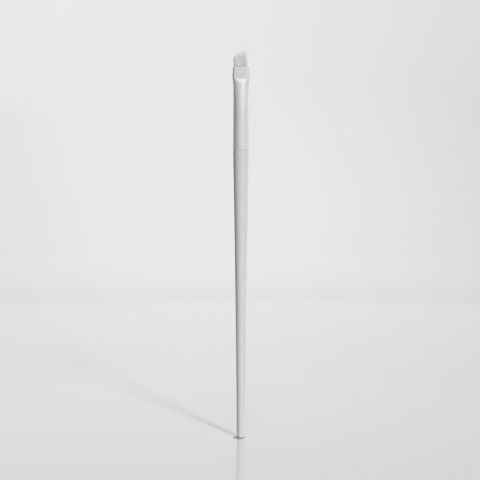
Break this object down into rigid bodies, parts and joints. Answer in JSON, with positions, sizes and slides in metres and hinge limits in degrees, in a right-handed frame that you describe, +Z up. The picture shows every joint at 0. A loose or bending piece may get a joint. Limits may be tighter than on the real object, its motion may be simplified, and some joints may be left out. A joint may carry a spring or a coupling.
{
  "type": "angled liner brush",
  "caption": "Slim eyeliner brush: a tapered stick handle, a tube ferrule pressed flat at its mouth, and a short tuft of bristles cut on a slant.",
  "frame": {"origin": "the middle of the handle's flat end face, on the brush's axis", "axes": "+Z runs up the brush from the handle's end to the bristle tips, and +X points to the long side of the slanted tuft, along the wide side of the ferrule's mouth"},
  "size_m": [0.0072, 0.0068, 0.1702],
  "materials": {
    "handle_paint": "matte",
    "glue": "satin",
    "ferrule_coat": "satin",
    "resin": "gloss",
    "filament": "satin"
  },
  "bodies": {
    "root": {"handle": "handle_paint", "handle_glue": "glue", "ferrule": "ferrule_coat", "epoxy_plug": "resin", "bristle_tuft": "filament"}
  },
  "joints": []
}
